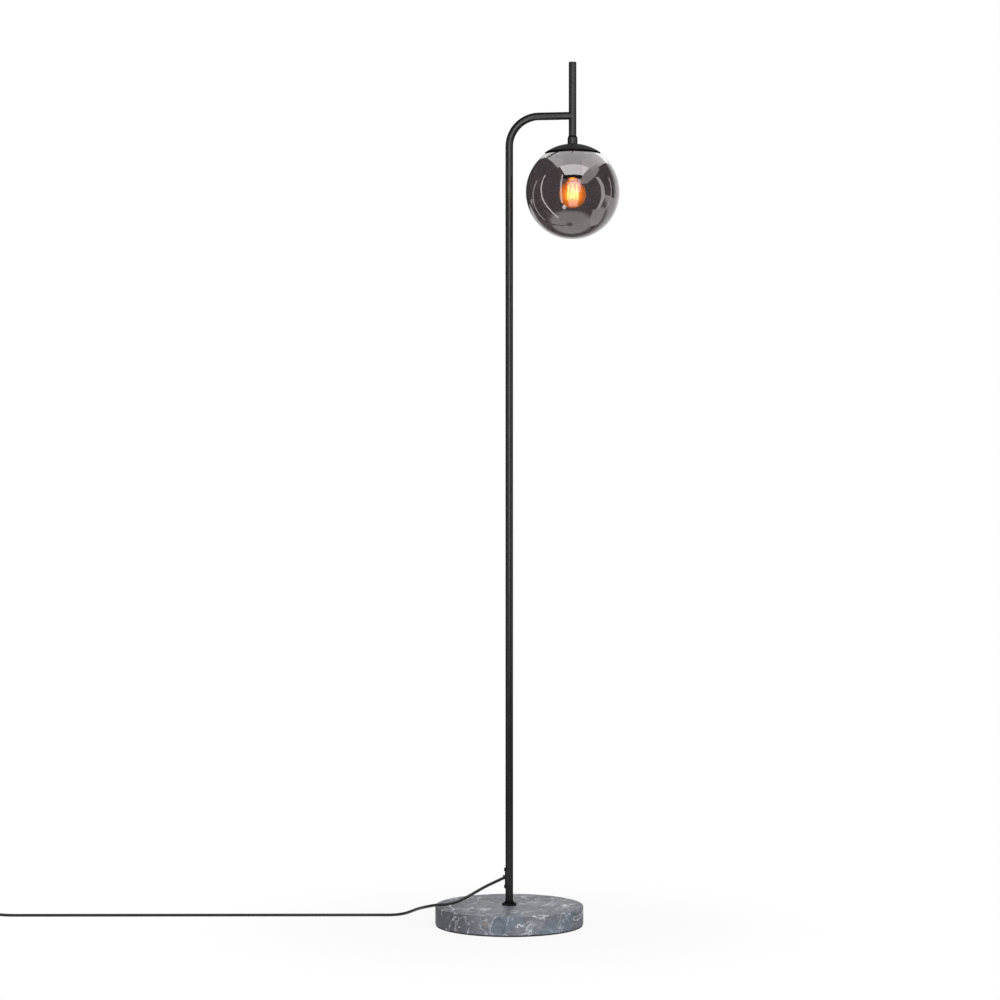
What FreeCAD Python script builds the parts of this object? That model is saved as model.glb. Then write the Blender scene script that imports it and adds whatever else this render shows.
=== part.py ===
import FreeCAD, Part
import math
import os
from FreeCAD import Vector

# Globe floor lamp: a marble disc carries a tube pole that bends into a short arm. The arm is
# welded to a vertical rod, and a smoked glass globe hangs from a domed cap at the rod's foot.
# Millimetres, +Z up. The origin is the centre of the pad's underside, on the floor, and the
# arm points along +X.

# ---- driving dimensions ----------------------------------------------------------------

# base
base_radius = 125.0
marble_thickness = 31.0
marble_edge = 1.6
pad_thickness = 2.0
pad_inset = 1.0
recess_radius = 20.0
recess_depth = 14.0
stud_radius = 4.0
stud_clearance = 0.5
stud_tip = 1.5
stud_set_down = 1.0
washer_radius = 15.0
washer_thickness = 2.0
spring_washer_radius = 7.2
spring_washer_thickness = 2.0
spring_washer_split = 1.0
nut_across_flats = 13.0
nut_height = 6.5
flange_radius = 12.25
flange_thickness = 3.5
flange_floor = 1.5
flange_cone_radius = 9.0
flange_cone_height = 4.0
flange_lip = 0.5
insert_lift = 0.5
insert_length = 24.0

# tubes
tube_radius = 6.5
tube_wall = 1.2
joint_height = 988.0
spigot_length = 60.0
spigot_wall = 1.4
arm_height = 1363.7
bend_radius = 50.0
head_reach = 107.5
rod_rise = 90.3
rod_plug_height = 2.0
rod_plug_edge = 0.8
rod_plug_depth = 8.0
wire_hole_radius = 4.6

# cable outlet on the pole
outlet_height = 78.6
outlet_length = 35.8
outlet_width = 11.0
outlet_thickness = 1.2
outlet_screw_spacing = 28.4
outlet_screw_radius = 1.4
outlet_screw_head_radius = 2.7
outlet_screw_head_height = 1.1
outlet_screw_grip = 2.0
outlet_slot_width = 0.8
outlet_tilt = 26.0
bush_radius = 3.9
bush_flange_radius = 4.8
bush_flange_thickness = 1.0
bush_set_back = 1.0
bush_reach = 9.6
cable_entry_radius = 7.5
cable_elbow_radius = 9.5

# head
head_drop = 47.5
collar_radius = 8.5
collar_height = 13.8
collar_floor = 3.8
collar_chamfer_width = 1.8
collar_chamfer_height = 3.9
nipple_radius = 5.0
nipple_bore = 3.5
nipple_rise = 5.0
nipple_grip = 8.0
globe_radius = 79.0
globe_wall = 2.5
globe_mouth = 38.0
cap_gap = 0.8
cap_wall = 1.2
cap_rim_radius = 47.0
cap_seat_overlap = 0.2
cap_seat_margin = 0.6
cap_seat_relief = 2.0
toothed_washer_radius = 8.4
toothed_washer_thickness = 0.8
toothed_washer_teeth = 12
toothed_washer_notch = 0.7
locknut_across_flats = 14.0
locknut_height = 3.5
neck_ring_depth = 7.6
neck_ring_wall = 2.0
neck_ring_floor = 0.8
neck_thread_depth = 0.7
neck_thread_pitch = 2.6
cap_ring_wall = 2.4

# lampholder
sleeve_radius = 16.0
sleeve_wall = 0.8
sleeve_length = 51.7
holder_radius = 13.5
holder_cap_height = 13.9
holder_cap_wall = 2.0
holder_set_back = 1.5
holder_mouth_radius = 9.4
holder_roof = 12.5
contact_radius = 3.0
contact_thickness = 0.8
contact_rivet_radius = 1.2
shell_thickness = 0.4
terminal_radius = 1.75
terminal_margin = 1.5
terminal_length = 6.0
terminal_offset = 8.0
wire_radius = 1.1
wire_reach = 3.0

# bulb
bulb_radius = 22.5
bulb_glass_wall = 0.8
bulb_neck_radius = 7.4
bulb_neck_blend = 12.0
bulb_neck_depth = 2.5
bulb_cap_length = 25.0
bulb_skirt_radius = 8.5
bulb_skirt_height = 4.0
bulb_skirt_overlap = 1.0
bulb_skirt_slope = 2.0
bulb_metal = 0.35
bulb_crest = 6.9
bulb_root = 6.3
bulb_pitch = 2.82
bulb_turns = 4
bulb_insulator_top = 3.6
bulb_insulator_seat = 1.0
bulb_tip_height = 1.4
bulb_tip_radius = 2.4
bulb_tip_end_radius = 1.4
stem_radius = 3.2
stem_length = 12.0
stem_rod_radius = 1.0
stem_rod_length = 26.0
filament_count = 4
filament_radius = 0.9
filament_length = 26.0
filament_circle_top = 6.5
filament_circle_low = 9.5
filament_drop = 1.5
filament_twist = 0.5
lead_radius = 0.35
lead_root_share = 0.8
lead_hook_height = 2.0

# cord
cord_radius = 2.5
cord_first_run = 16.5
cord_heading = 8.4
coil_radius = 30.0
plug_tail_run = 45.0
plug_tail_aside = 8.0
coil_turns_across = 3
coil_turns_high = 2
tie_width = 9.0
tie_thickness = 0.8

# foot switch
switch_length = 80.0
switch_width = 42.0
switch_height = 22.0
switch_parting = 8.0
switch_wall = 2.0
switch_corner = 12.0
switch_edge = 3.0
switch_cord_height = 6.0
switch_pad_radius = 4.0
switch_pad_thickness = 1.0
switch_post_radius = 3.0
switch_post_spacing_x = 62.0
switch_post_spacing_y = 24.0
switch_screw_radius = 1.4
switch_screw_head = 2.6
switch_screw_length = 12.0
switch_screw_recess = 0.4
button_radius = 13.0
button_rise = 4.5
button_travel = 3.0
button_edge = 1.2
button_skirt = 2.0
button_skirt_width = 2.0
button_stem_radius = 3.0
button_seat = 0.6
spring_radius = 5.0
spring_wire = 0.5
spring_turns = 4
block_length = 30.0
block_width = 22.0
block_height = 6.0
terminal_bar_length = 9.0
terminal_bar_width = 5.0
terminal_bar_height = 2.6
terminal_bar_corner = 0.5
relief_length = 20.0
relief_tip_radius = 3.6
relief_root_radius = 5.0
relief_tongue = 5.0

# plug
plug_length = 38.0
plug_width = 35.3
plug_shoulder = 22.8
plug_thickness = 13.7
plug_lift = 0.15
plug_back_width = 20.0
plug_edge = 2.0
plug_relief_length = 25.0
plug_relief_root = 4.8
plug_relief_grooves = 5
plug_groove_width = 1.3
pin_radius = 2.0
pin_length = 19.0
pin_spacing = 18.6
pin_root = 9.0
pin_shank_radius = 1.7
pin_point = 1.0

# clearances
fit_gap = 0.05
slide_gap = 0.2
turn_gap = 0.3
thread_gap = 0.25
overshoot = 1.0

# ---- shapes that repeat ----------------------------------------------------------------


def turned(outline, x=0.0):
    """A solid of revolution about the vertical line at x, from points of radius and height."""
    points = [Vector(x + radius, 0, height) for radius, height in outline]
    face = Part.Face(Part.makePolygon(points + points[:1]))
    return face.revolve(Vector(x, 0, 0), Vector(0, 0, 1), 360)


def tube(inner, outer, low, high, x=0.0):
    """An upright tube, or a round bar where the inner radius is zero."""
    return turned([(inner, low), (outer, low), (outer, high), (inner, high)], x)


def hex_nut(across_flats, bore, low, height, x=0.0):
    """A hexagon nut with its corners taken off by a cone at each face."""
    corner = across_flats / math.sqrt(3)
    points = []
    for step in range(7):
        turn = math.radians(60 * step)
        points.append(Vector(x + corner * math.cos(turn), corner * math.sin(turn), low))
    prism = Part.Face(Part.makePolygon(points)).extrude(Vector(0, 0, height))
    flat = across_flats / 2
    slope = corner - flat
    rounding = turned(
        [
            (0, low),
            (flat, low),
            (corner, low + slope / 2),
            (corner, low + height - slope / 2),
            (flat, low + height),
            (0, low + height),
        ],
        x,
    )
    bore_bar = tube(0, bore, low - overshoot, low + height + overshoot, x)
    return prism.common(rounding).cut(bore_bar)


def rounded_box(length, width, low, high, corner):
    """An upright box centred on the origin, with rounded corners in plan."""
    box = Part.makeBox(length, width, high - low, Vector(-length / 2, -width / 2, low))
    upright = [edge for edge in box.Edges if abs(edge.tangentAt(0).z) > 0.9]
    return box.makeFillet(corner, upright)


def bar(start, end, radius):
    """A round bar between two points."""
    return Part.makeCylinder(radius, (end - start).Length, start, end - start)


def route_wire(points, radii=None, label=None):
    """Straight runs joined by tangent arcs, each as large as its runs allow if no radii are given."""
    edges = []
    start = points[0]
    for number in range(1, len(points) - 1):
        before, corner, after = points[number - 1 : number + 2]
        into = (corner - before).normalize()
        out = (after - corner).normalize()
        half_turn = into.getAngle(out) / 2
        if radii:
            radius = radii[number - 1]
        else:
            shorter = min((corner - before).Length, (after - corner).Length)
            radius = 0.45 * shorter / math.tan(half_turn)
        reach = radius * math.tan(half_turn)
        arc_start = corner - into * reach
        arc_end = corner + out * reach
        inwards = (out - into).normalize()
        centre = corner + inwards * (radius / math.cos(half_turn))
        middle = centre - inwards * radius
        edges.append(Part.LineSegment(start, arc_start).toShape())
        edges.append(Part.Arc(arc_start, middle, arc_end).toShape())
        start = arc_end
        if label:
            turn = round(math.degrees(2 * half_turn), 1)
            print(label, "point", number, "radius", round(radius, 1), "turn", turn)
    edges.append(Part.LineSegment(start, points[-1]).toShape())
    return Part.Wire(edges)


def swept(wire, radius):
    """A round solid along a wire."""
    start = wire.Edges[0].Vertexes[0].Point
    circle = Part.makeCircle(radius, start, wire.Edges[0].tangentAt(0))
    return wire.makePipeShell([Part.Wire(circle)], True, False)


def thread_outline(root, crest, low, pitch, turns):
    """Points of radius and height along a thread that is drawn as plain rings."""
    points = []
    for turn in range(turns):
        points.append((root, low + turn * pitch))
        points.append((crest, low + turn * pitch + pitch / 2))
    points.append((root, low + turns * pitch))
    return points


def save(name, shape):
    """Write one piece, or one group of like pieces, to its own file."""
    solid = shape.removeSplitter()
    print(name, "solids", len(solid.Solids), "valid", solid.isValid(), "volume", round(solid.Volume, 1))
    solid.exportStep("parts/" + name + ".step")


os.makedirs("parts", exist_ok=True)

# ---- base ------------------------------------------------------------------------------

marble_low = pad_thickness
marble_top = marble_low + marble_thickness
recess_roof = marble_low + recess_depth
stud_hole = stud_radius + stud_clearance

marble = turned(
    [
        (recess_radius, marble_low),
        (base_radius - marble_edge / 2, marble_low),
        (base_radius, marble_low + marble_edge / 2),
        (base_radius, marble_top),
        (stud_hole, marble_top),
        (stud_hole, recess_roof),
        (recess_radius, recess_roof),
    ]
)
top_rim = [
    edge
    for edge in marble.Edges
    if edge.BoundBox.ZMin > marble_top - fit_gap and edge.BoundBox.XLength > base_radius
]
save("marble_disc", marble.makeFillet(marble_edge, top_rim))
save("base_pad", tube(0, base_radius - pad_inset, 0, pad_thickness))

washer_low = recess_roof - washer_thickness
spring_washer_low = washer_low - spring_washer_thickness
nut_low = spring_washer_low - nut_height
pole_foot = marble_top + flange_floor
save("base_washer", tube(stud_hole, washer_radius, washer_low, recess_roof))
split_ring = tube(stud_radius + slide_gap, spring_washer_radius, spring_washer_low, washer_low)
split_height = spring_washer_thickness + 2 * overshoot
split_corner = Vector(0, -spring_washer_split / 2, spring_washer_low - overshoot)
split = Part.makeBox(spring_washer_radius, spring_washer_split, split_height, split_corner)
save("base_spring_washer", split_ring.cut(split))
save("base_nut", hex_nut(nut_across_flats, stud_radius + fit_gap, nut_low, nut_height))

insert_low = pole_foot + insert_lift
insert_top = insert_low + insert_length
save("base_stud", tube(0, stud_radius, nut_low - stud_tip, insert_top - stud_set_down))

tube_bore = tube_radius - tube_wall
flange_top = marble_top + flange_thickness
cone_top = flange_top + flange_cone_height
flange_bore = tube_radius + fit_gap
flange = turned(
    [
        (stud_hole, marble_top),
        (flange_radius, marble_top),
        (flange_radius, flange_top),
        (flange_cone_radius, flange_top),
        (flange_bore + flange_lip, cone_top),
        (flange_bore, cone_top),
        (flange_bore, pole_foot),
        (stud_hole, pole_foot),
    ]
)
save("foot_flange", flange)
save("foot_insert", tube(stud_radius + fit_gap, tube_bore - fit_gap, insert_low, insert_top))

# ---- pole ------------------------------------------------------------------------------

# The cord leaves the pole on its left side, sloping down. Its hole follows that slope.
tilt = math.radians(outlet_tilt)
exit_direction = Vector(-math.cos(tilt), 0, -math.sin(tilt))
exit_point = Vector(-bush_reach, 0, outlet_height)
screw_heights = [outlet_height + side * outlet_screw_spacing / 2 for side in (-1, 1)]
cable_corner = Vector(0, 0, outlet_height + bush_reach * math.tan(tilt))
entry_reach = cable_entry_radius * math.tan((math.pi / 2 - tilt) / 2)
bush_back = cable_corner + exit_direction * (entry_reach + fit_gap)
bush_face = exit_point - exit_direction * bush_set_back
bush_flange_back = bush_face - exit_direction * bush_flange_thickness
bush_seat = bar(cable_corner, bush_face, bush_radius + fit_gap).fuse(
    bar(bush_flange_back, bush_face + exit_direction * bush_reach, bush_flange_radius + fit_gap)
)

lower_pole = tube(tube_bore, tube_radius, pole_foot, joint_height)
lower_pole = lower_pole.cut(bush_seat)
for height in screw_heights:
    hole = bar(Vector(-2 * tube_radius, 0, height), Vector(0, 0, height), outlet_screw_radius + fit_gap)
    lower_pole = lower_pole.cut(hole)
save("lower_pole", lower_pole)

spigot_radius = tube_bore - fit_gap
spigot_low = joint_height - spigot_length / 2
spigot_high = spigot_low + spigot_length
save("joint_spigot", tube(spigot_radius - spigot_wall, spigot_radius, spigot_low, spigot_high))


def bent_bar(radius):
    """A round bar up the pole, round its bend and along the arm to the rod."""
    corner = Vector(0, 0, arm_height)
    points = [Vector(0, 0, joint_height), corner, Vector(head_reach, 0, arm_height)]
    return swept(route_wire(points, [bend_radius]), radius)


rod_top = arm_height + rod_rise
cap_top = arm_height - head_drop
rod_foot = cap_top + collar_floor
rod_bar = tube(0, tube_radius, rod_foot, rod_top, head_reach)
save("upper_pole", bent_bar(tube_radius).cut(bent_bar(tube_bore)).cut(rod_bar))

rod_tube_top = rod_top - rod_plug_height
rod = tube(tube_bore, tube_radius, rod_foot, rod_tube_top, head_reach)
arm_end = Vector(head_reach, 0, arm_height)
wire_hole = bar(arm_end - Vector(2 * tube_radius, 0, 0), arm_end, wire_hole_radius)
save("rod_tube", rod.cut(wire_hole))
plug_spigot = tube_bore - fit_gap
rod_plug = turned(
    [
        (0, rod_tube_top - rod_plug_depth),
        (plug_spigot, rod_tube_top - rod_plug_depth),
        (plug_spigot, rod_tube_top),
        (tube_radius, rod_tube_top),
        (tube_radius, rod_top - rod_plug_edge),
        (tube_radius - rod_plug_edge, rod_top),
        (0, rod_top),
    ],
    head_reach,
)
save("rod_plug", rod_plug)

# ---- cable outlet ----------------------------------------------------------------------

saddle_outer = tube_radius + outlet_thickness
saddle_low = outlet_height - outlet_length / 2
saddle = tube(tube_radius + fit_gap, saddle_outer, saddle_low, saddle_low + outlet_length)
half_width = outlet_width / 2
slot_height = outlet_length - outlet_width
slot_corner = Vector(-2 * tube_radius, -half_width, outlet_height - slot_height / 2)
slot_shape = Part.makeBox(2 * tube_radius, outlet_width, slot_height, slot_corner)
for side in (-1, 1):
    end_height = outlet_height + side * slot_height / 2
    round_end = bar(Vector(-2 * tube_radius, 0, end_height), Vector(0, 0, end_height), half_width)
    slot_shape = slot_shape.fuse(round_end)
saddle = saddle.common(slot_shape)
saddle = saddle.cut(bush_seat)
screws = []
for height in screw_heights:
    shank_end = Vector(-tube_bore + outlet_screw_grip, 0, height)
    head_seat = Vector(-saddle_outer, 0, height)
    hole = bar(Vector(-2 * tube_radius, 0, height), Vector(0, 0, height), outlet_screw_radius + fit_gap)
    saddle = saddle.cut(hole)
    head_top = head_seat + Vector(-outlet_screw_head_height, 0, 0)
    screw_head = bar(head_seat, head_top, outlet_screw_head_radius)
    screw = bar(shank_end, head_seat, outlet_screw_radius).fuse(screw_head)
    slot_low = Vector(head_top.x, -outlet_screw_head_radius, height - outlet_slot_width / 2)
    slot_length = 2 * outlet_screw_head_radius
    driver_slot = Part.makeBox(outlet_slot_width, slot_length, outlet_slot_width, slot_low)
    screws.append(screw.cut(driver_slot))
save("cable_outlet", saddle)
save("outlet_screws", Part.makeCompound(screws))

bush = bar(bush_back, bush_face, bush_radius).fuse(bar(bush_flange_back, bush_face, bush_flange_radius))
cord_hole = cord_radius + fit_gap
save("outlet_bush", bush.cut(bar(cable_corner, exit_point, cord_hole)))

# ---- head ------------------------------------------------------------------------------

collar_top = cap_top + collar_height
thread_hole = nipple_radius + fit_gap
collar = turned(
    [
        (thread_hole, cap_top),
        (collar_radius, cap_top),
        (collar_radius, collar_top - collar_chamfer_height),
        (collar_radius - collar_chamfer_width, collar_top),
        (tube_radius + fit_gap, collar_top),
        (tube_radius + fit_gap, rod_foot),
        (thread_hole, rod_foot),
    ],
    head_reach,
)
save("head_collar", collar)

# The cap is part of a sphere about the globe's centre, with a flat seat for the collar.
cap_radius = globe_radius + cap_gap + cap_wall
cap_bore = globe_radius + cap_gap
globe_z = cap_top - cap_radius
globe_centre = Vector(head_reach, 0, globe_z)
cap_rim_z = globe_z + math.sqrt(cap_radius**2 - cap_rim_radius**2)
cap_roof = cap_top - cap_wall
upper_half = Part.makeBox(
    4 * cap_radius,
    4 * cap_radius,
    2 * cap_radius,
    Vector(head_reach - 2 * cap_radius, -2 * cap_radius, cap_rim_z),
)
dome = Part.makeSphere(cap_radius, globe_centre).cut(Part.makeSphere(cap_bore, globe_centre))
dome = dome.common(upper_half)
dome = dome.fuse(tube(0, collar_radius, cap_roof - cap_seat_overlap, cap_top, head_reach))
seat_radius = toothed_washer_radius + cap_seat_margin
seat_under = tube(0, seat_radius, cap_roof - cap_seat_relief, cap_roof, head_reach)
nipple_way = tube(0, thread_hole, cap_rim_z, cap_top + overshoot, head_reach)
dome = dome.cut(seat_under).cut(nipple_way)
save("shade_cap", dome)

toothed_washer_low = cap_roof - toothed_washer_thickness
locknut_low = toothed_washer_low - locknut_height
sleeve_top = locknut_low
sleeve_low = sleeve_top - sleeve_length
holder_top = sleeve_top - sleeve_wall
tooth_ring = tube(thread_hole, toothed_washer_radius, toothed_washer_low, cap_roof, head_reach)
for number in range(toothed_washer_teeth):
    turn = 2 * math.pi * number / toothed_washer_teeth
    notch_x = head_reach + toothed_washer_radius * math.cos(turn)
    notch_y = toothed_washer_radius * math.sin(turn)
    notch_low = Vector(notch_x, notch_y, toothed_washer_low - overshoot)
    notch_high = Vector(notch_x, notch_y, cap_roof + overshoot)
    tooth_ring = tooth_ring.cut(bar(notch_low, notch_high, toothed_washer_notch))
save("cap_washer", tooth_ring)
save("cap_locknut", hex_nut(locknut_across_flats, thread_hole, locknut_low, locknut_height, head_reach))
nipple_low = holder_top - nipple_grip
save("cap_nipple", tube(nipple_bore, nipple_radius, nipple_low, rod_foot + nipple_rise, head_reach))

# The glass hangs on a ring bonded into its mouth. The ring screws over the threaded ring
# that is fixed under the cap.
glass_inner = globe_radius - globe_wall
mouth_height = math.sqrt(globe_radius**2 - globe_mouth**2)
inner_mouth_height = math.sqrt(glass_inner**2 - globe_mouth**2)


def glass_point(radius, degrees):
    """A point on the globe's profile, at an angle up from its equator."""
    turn = math.radians(degrees)
    return Vector(head_reach + radius * math.cos(turn), 0, globe_z + radius * math.sin(turn))


outer_lip = Vector(head_reach + globe_mouth, 0, globe_z + mouth_height)
inner_lip = Vector(head_reach + globe_mouth, 0, globe_z + inner_mouth_height)
outer_foot = glass_point(globe_radius, -90)
inner_foot = glass_point(glass_inner, -90)
glass_edges = [
    Part.Arc(outer_foot, glass_point(globe_radius, 0), outer_lip).toShape(),
    Part.LineSegment(outer_lip, inner_lip).toShape(),
    Part.Arc(inner_lip, glass_point(glass_inner, 0), inner_foot).toShape(),
    Part.LineSegment(inner_foot, outer_foot).toShape(),
]
globe = Part.Face(Part.Wire(glass_edges)).revolve(globe_centre, Vector(0, 0, 1), 360)
save("globe_glass", globe)

neck_outer = globe_mouth - fit_gap
neck_crest = neck_outer - neck_ring_wall
neck_root = neck_crest + neck_thread_depth
neck_top = globe_z + mouth_height - neck_ring_floor
neck_low = neck_top - neck_ring_depth
neck_turns = int(neck_ring_depth / neck_thread_pitch)
neck_rings = thread_outline(neck_crest, neck_root, neck_low, neck_thread_pitch, neck_turns)
neck = turned(
    [(neck_outer, neck_top), (neck_outer, neck_low)] + neck_rings + [(neck_crest, neck_top)],
    head_reach,
)
save("globe_collar", neck)

ring_root = neck_crest - thread_gap
ring_crest = neck_root - thread_gap
ring_bore = ring_root - cap_ring_wall
ring_blank_top = globe_z + cap_bore
ring_rings = thread_outline(ring_root, ring_crest, neck_low, neck_thread_pitch, neck_turns)
cap_ring = turned(
    [(ring_bore, ring_blank_top), (ring_bore, neck_low)] + ring_rings + [(ring_root, ring_blank_top)],
    head_reach,
)
save("cap_thread_ring", cap_ring.common(Part.makeSphere(cap_bore, globe_centre)))

# ---- lampholder ------------------------------------------------------------------------

sleeve_inner = sleeve_radius - sleeve_wall
sleeve = turned(
    [
        (sleeve_inner, sleeve_low),
        (sleeve_radius, sleeve_low),
        (sleeve_radius, sleeve_top),
        (thread_hole, sleeve_top),
        (thread_hole, holder_top),
        (sleeve_inner, holder_top),
    ],
    head_reach,
)
save("lampholder_sleeve", sleeve)

holder_joint = holder_top - holder_cap_height
holder_low = sleeve_low + holder_set_back
holder_cap = turned(
    [
        (holder_radius - holder_cap_wall, holder_joint),
        (holder_radius, holder_joint),
        (holder_radius, holder_top),
        (thread_hole, holder_top),
        (thread_hole, holder_top - nipple_grip),
        (holder_radius - holder_cap_wall, holder_top - nipple_grip),
    ],
    head_reach,
)
save("lampholder_cap", holder_cap)

contact_low = holder_joint - holder_roof
bulb_skirt_low = contact_low - bulb_cap_length
thread_low = bulb_skirt_low + bulb_skirt_height + bulb_skirt_slope
thread_top = thread_low + bulb_turns * bulb_pitch
shell_root = bulb_root + thread_gap
shell_crest = bulb_crest + thread_gap
shell_rings = thread_outline(shell_root, shell_crest, thread_low, bulb_pitch, bulb_turns)
shell_outer = shell_crest + shell_thickness
shell_low = thread_low
holder_shell = turned([(shell_outer, thread_top), (shell_outer, shell_low)] + shell_rings, head_reach)
save("lampholder_shell", holder_shell)

chamber_roof = contact_low + contact_thickness
body = turned(
    [
        (holder_mouth_radius, holder_low),
        (holder_radius, holder_low),
        (holder_radius, holder_joint),
        (0, holder_joint),
        (0, chamber_roof),
        (shell_outer + fit_gap, chamber_roof),
        (shell_outer + fit_gap, shell_low),
        (holder_mouth_radius, shell_low),
    ],
    head_reach,
)
contact_rivet = tube(0, contact_rivet_radius, chamber_roof, holder_joint, head_reach)
contact_disc = tube(0, contact_radius, contact_low, chamber_roof, head_reach)
save("lampholder_contact", contact_disc.fuse(contact_rivet))
rivet_hole = contact_rivet_radius + fit_gap
body = body.cut(tube(0, rivet_hole, chamber_roof - overshoot, holder_joint + overshoot, head_reach))

terminal_height = holder_joint - terminal_radius - terminal_margin
terminals = []
wires = []
for side in (-1, 1):
    y = side * terminal_offset
    entry = Vector(head_reach, y, terminal_height)
    terminals.append(bar(entry, entry + Vector(terminal_length, 0, 0), terminal_radius))
    body = body.cut(bar(entry, entry + Vector(holder_radius, 0, 0), terminal_radius + fit_gap))
    wire_start = Vector(head_reach, side * (wire_radius + slide_gap), nipple_low)
    wire_bend = wire_start - Vector(0, 0, 2 * wire_radius)
    wire_low = Vector(head_reach - wire_reach, y, (wire_bend.z + holder_joint) / 2)
    wire_end = Vector(head_reach - wire_reach, y, terminal_height)
    wire_path = route_wire([wire_start, wire_bend, wire_low, wire_end])
    wires.append(swept(wire_path, wire_radius))
    body = body.cut(bar(wire_end, wire_low, wire_radius + slide_gap))
save("lampholder_body", body)
save("terminal_screws", Part.makeCompound(terminals))
save("supply_wires", Part.makeCompound(wires))

# ---- bulb ------------------------------------------------------------------------------

bulb_neck_z = bulb_skirt_low + bulb_skirt_overlap
blend_x = bulb_neck_radius + bulb_neck_blend
bulb_z = bulb_neck_z - math.sqrt((bulb_radius + bulb_neck_blend) ** 2 - blend_x**2)
blend_centre = Vector(head_reach + blend_x, 0, bulb_neck_z)
bulb_centre = Vector(head_reach, 0, bulb_z)
to_blend = (blend_centre - bulb_centre).normalize()


def bulb_profile(offset):
    """Edges of the bulb's outline, from its lowest point to its neck, moved inwards by an offset."""
    radius = bulb_radius - offset
    blend = bulb_neck_blend + offset
    lowest = bulb_centre - Vector(0, 0, radius)
    side = bulb_centre + Vector(radius, 0, 0)
    meeting = bulb_centre + to_blend * radius
    neck = blend_centre - Vector(blend, 0, 0)
    halfway = blend_centre - (to_blend + Vector(1, 0, 0)).normalize() * blend
    top = neck + Vector(0, 0, bulb_neck_depth)
    outline = [Part.Arc(lowest, side, meeting).toShape(), Part.Arc(meeting, halfway, neck).toShape()]
    return lowest, top, outline + [Part.LineSegment(neck, top).toShape()]


outer_low, outer_top, outer_edges = bulb_profile(0)
inner_low, inner_top, inner_edges = bulb_profile(bulb_glass_wall)
rim = [Part.LineSegment(outer_top, inner_top).toShape(), Part.LineSegment(inner_low, outer_low).toShape()]
bulb_wire = Part.Wire(Part.__sortEdges__(outer_edges + inner_edges + rim))
save("bulb_glass", Part.Face(bulb_wire).revolve(bulb_centre, Vector(0, 0, 1), 360))

skirt_top = bulb_skirt_low + bulb_skirt_height
insulator_low = thread_top
tip_low = contact_low - bulb_tip_height
bulb_rings = thread_outline(bulb_root, bulb_crest, thread_low, bulb_pitch, bulb_turns)
skirt_inner = bulb_skirt_radius - bulb_metal
bore = bulb_root - bulb_metal
bulb_cap = turned(
    [(bore, thread_top), (bore, thread_low), (skirt_inner, skirt_top), (skirt_inner, bulb_skirt_low)]
    + [(bulb_skirt_radius, bulb_skirt_low), (bulb_skirt_radius, skirt_top)]
    + bulb_rings,
    head_reach,
)
save("bulb_cap", bulb_cap)
insulator = turned(
    [
        (0, insulator_low - bulb_insulator_seat),
        (bore - fit_gap, insulator_low - bulb_insulator_seat),
        (bore - fit_gap, insulator_low),
        (bulb_root, insulator_low),
        (bulb_insulator_top, tip_low),
        (0, tip_low),
    ],
    head_reach,
)
save("bulb_insulator", insulator)
tip = turned(
    [(0, tip_low), (bulb_tip_radius, tip_low), (bulb_tip_end_radius, contact_low), (0, contact_low)],
    head_reach,
)
save("bulb_contact", tip)

stem_top = bulb_neck_z + bulb_neck_depth
stem_foot = stem_top - stem_length
stem_tip = stem_foot - stem_rod_length
inner_neck = bulb_neck_radius - bulb_glass_wall - fit_gap
stem = turned(
    [
        (0, stem_tip),
        (stem_rod_radius, stem_tip),
        (stem_rod_radius, stem_foot),
        (stem_radius, stem_foot + stem_radius),
        (inner_neck, stem_top - bulb_neck_depth),
        (inner_neck, stem_top),
        (0, stem_top),
    ],
    head_reach,
)
save("bulb_stem", stem)

filament_top = stem_foot - filament_drop
filaments = []
leads = []
for number in range(filament_count):
    turn = 2 * math.pi * number / filament_count
    twist = turn + filament_twist
    across = Vector(math.cos(turn), math.sin(turn), 0)
    across_low = Vector(math.cos(twist), math.sin(twist), 0)
    top = Vector(head_reach, 0, filament_top) + across * filament_circle_top
    low = Vector(head_reach, 0, filament_top - filament_length) + across_low * filament_circle_low
    filaments.append(bar(top, low, filament_radius))
    root = Vector(head_reach, 0, stem_foot + stem_radius) + across * stem_radius * lead_root_share
    leads.append(bar(root, top, lead_radius))
    hook_reach = across_low * stem_rod_radius * lead_root_share
    hook = Vector(head_reach, 0, stem_tip + lead_hook_height) + hook_reach
    leads.append(bar(low, hook, lead_radius))
filament_group = Part.makeCompound(filaments)
lead_solids = []
for lead in leads:
    pieces = lead.cut(filament_group).cut(stem).Solids
    lead_solids.append(max(pieces, key=lambda solid: solid.Volume))
save("bulb_filament", filament_group)
save("bulb_leads", Part.makeCompound(lead_solids))

# ---- cable inside the lamp -------------------------------------------------------------

# It turns up inside the pole, follows the bend and turns down the rod to the lampholder.
cable_points = [
    exit_point,
    cable_corner,
    Vector(0, 0, arm_height),
    Vector(head_reach, 0, arm_height),
    Vector(head_reach, 0, nipple_low),
]
cable_path = route_wire(cable_points, [cable_entry_radius, bend_radius, cable_elbow_radius])
save("inner_cable", swept(cable_path, cord_radius))

# ---- cord outside ----------------------------------------------------------------------

# The cord slopes from the outlet to the marble, drops over its edge and runs straight to
# the left. Past the foot switch the rest is wound into a tied coil, with the plug beside it.
straight_start = Vector(-235.0, 52.5, cord_radius)
heading = math.radians(cord_heading)
onward = Vector(-math.cos(heading), -math.sin(heading), 0)
sideways = Vector(-math.sin(heading), math.cos(heading), 0)


def laid(along, aside, height):
    """A point on the floor past the start of the straight run, with its height."""
    return Vector(straight_start.x, straight_start.y, height) + onward * along + sideways * aside


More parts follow.
